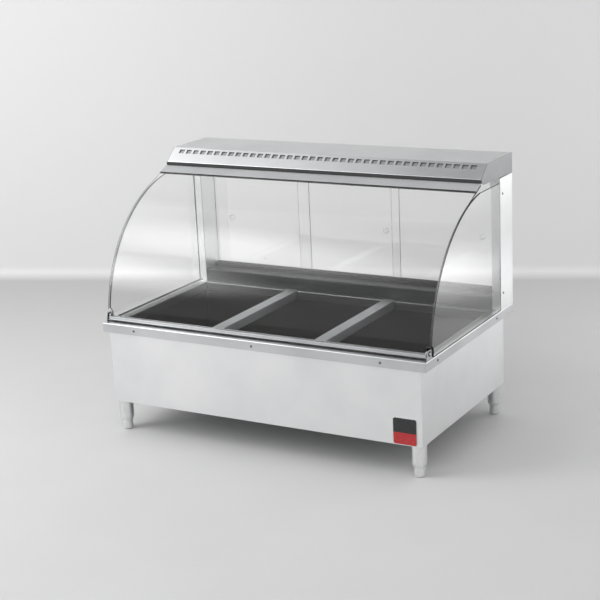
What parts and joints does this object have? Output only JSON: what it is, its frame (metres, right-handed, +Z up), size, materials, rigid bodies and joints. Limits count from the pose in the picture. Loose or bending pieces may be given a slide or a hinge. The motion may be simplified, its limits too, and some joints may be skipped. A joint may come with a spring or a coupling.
{
  "type": "hot food display case",
  "caption": "Countertop heated food display case with lift-out pan bars, a tilting curved front glass, sliding rear doors and a vented canopy on adjustable legs.",
  "frame": {"origin": "middle of the footprint, on the surface the feet stand on", "axes": "+Z up, +X to the right as the customer faces the case, -Y towards the customer"},
  "size_m": [1.176, 0.694, 0.882],
  "materials": {
    "satin_steel": "satin, fine brushed grain",
    "dull_steel": "mill finish, heat dulled",
    "bright_steel": "polished",
    "clear_glass": "clear toughened",
    "black_rubber": "matt extruded seal",
    "black_plastic": "moulded, fine texture",
    "aluminium": "satin anodised",
    "mineral_wool": "bonded fibre slab",
    "quartz": "frosted quartz tube with ceramic ends",
    "red_plastic": "gloss, moulded",
    "badge_enamel": "gloss enamel, dark upper half and red lower half"
  },
  "bodies": {
    "cabinet": {"base_pan": "dull_steel", "front_panel": "satin_steel", "rear_control_panel": "satin_steel", "left_side_panel": "satin_steel", "right_side_panel": "satin_steel", "counter_top": "satin_steel", "well_liner": "dull_steel", "insulation_jacket": "mineral_wool", "well_element_1": "dull_steel", "well_element_2": "dull_steel", "well_element_3": "dull_steel", "front_left_leg": "satin_steel", "front_right_leg": "satin_steel", "rear_left_leg": "satin_steel", "rear_right_leg": "satin_steel", "left_post": "satin_steel", "right_post": "satin_steel", "left_side_glass": "clear_glass", "right_side_glass": "clear_glass", "left_glass_seal": "black_rubber", "right_glass_seal": "black_rubber", "left_pivot_bush": "black_plastic", "right_pivot_bush": "black_plastic", "left_pivot_bracket": "satin_steel", "right_pivot_bracket": "satin_steel", "rear_sill": "satin_steel", "bottom_door_track": "black_plastic", "top_door_track": "aluminium", "canopy_shell": "satin_steel", "canopy_reflector": "bright_steel", "canopy_seal": "black_rubber", "heat_lamp_1": "quartz", "heat_lamp_2": "quartz", "heat_lamp_3": "quartz", "thermostat_1": "black_plastic", "thermostat_2": "black_plastic", "thermostat_3": "black_plastic", "switch_bezel": "black_plastic", "cable_gland": "black_plastic", "badge": "badge_enamel"},
    "front_glass": {"curved_front_glass": "clear_glass", "glass_bottom_channel": "aluminium", "glass_top_rail": "aluminium"},
    "door_left": {"left_door": "clear_glass", "left_door_pull": "clear_glass"},
    "door_middle": {"middle_door": "clear_glass", "middle_door_pull": "clear_glass"},
    "door_right": {"right_door": "clear_glass", "right_door_pull": "clear_glass"},
    "bar_left": {"adapter_bar_left": "satin_steel"},
    "bar_right": {"adapter_bar_right": "satin_steel"},
    "foot_front_left": {"front_left_foot": "satin_steel"},
    "foot_front_right": {"front_right_foot": "satin_steel"},
    "foot_rear_left": {"rear_left_foot": "satin_steel"},
    "foot_rear_right": {"rear_right_foot": "satin_steel"},
    "well_knob_1": {"thermostat_knob_1": "black_plastic"},
    "well_knob_2": {"thermostat_knob_2": "black_plastic"},
    "well_knob_3": {"thermostat_knob_3": "black_plastic"},
    "lamp_knob": {"lamp_dimmer_knob": "black_plastic"},
    "rocker": {"power_rocker": "red_plastic"}
  },
  "joints": [
    {"name": "glass_tilt", "type": "hinge", "parent": "cabinet", "child": "front_glass", "pos_m": [0, -0.312, 0.394], "axis": [1, 0, 0], "range_deg": [0, 80]},
    {"name": "left_door_slide", "type": "slide", "parent": "cabinet", "child": "door_left", "axis": [1, 0, 0], "range_m": [0, 0.318]},
    {"name": "middle_door_slide", "type": "slide", "parent": "cabinet", "child": "door_middle", "axis": [1, 0, 0], "range_m": [-0.355, 0.355]},
    {"name": "right_door_slide", "type": "slide", "parent": "cabinet", "child": "door_right", "axis": [1, 0, 0], "range_m": [-0.318, 0]},
    {"name": "left_bar_lift", "type": "slide", "parent": "cabinet", "child": "bar_left", "axis": [0, 0, 1], "range_m": [0, 0.055]},
    {"name": "right_bar_lift", "type": "slide", "parent": "cabinet", "child": "bar_right", "axis": [0, 0, 1], "range_m": [0, 0.055]},
    {"name": "front_left_foot_screw", "type": "slide", "parent": "cabinet", "child": "foot_front_left", "axis": [0, 0, -1], "range_m": [0, 0.025]},
    {"name": "front_right_foot_screw", "type": "slide", "parent": "cabinet", "child": "foot_front_right", "axis": [0, 0, -1], "range_m": [0, 0.025]},
    {"name": "rear_left_foot_screw", "type": "slide", "parent": "cabinet", "child": "foot_rear_left", "axis": [0, 0, -1], "range_m": [0, 0.025]},
    {"name": "rear_right_foot_screw", "type": "slide", "parent": "cabinet", "child": "foot_rear_right", "axis": [0, 0, -1], "range_m": [0, 0.025]},
    {"name": "well_knob_1_turn", "type": "hinge", "parent": "cabinet", "child": "well_knob_1", "pos_m": [0.3, 0.32, 0.285], "axis": [0, -1, 0], "range_deg": [0, 270]},
    {"name": "well_knob_2_turn", "type": "hinge", "parent": "cabinet", "child": "well_knob_2", "pos_m": [0.18, 0.32, 0.285], "axis": [0, -1, 0], "range_deg": [0, 270]},
    {"name": "well_knob_3_turn", "type": "hinge", "parent": "cabinet", "child": "well_knob_3", "pos_m": [0.06, 0.32, 0.285], "axis": [0, -1, 0], "range_deg": [0, 270]},
    {"name": "lamp_knob_turn", "type": "hinge", "parent": "cabinet", "child": "lamp_knob", "pos_m": [-0.08, 0.32, 0.285], "axis": [0, -1, 0], "range_deg": [0, 270]},
    {"name": "power_rocker_tip", "type": "hinge", "parent": "cabinet", "child": "rocker", "pos_m": [-0.2, 0.308, 0.285], "axis": [1, 0, 0], "range_deg": [0, 20]}
  ]
}
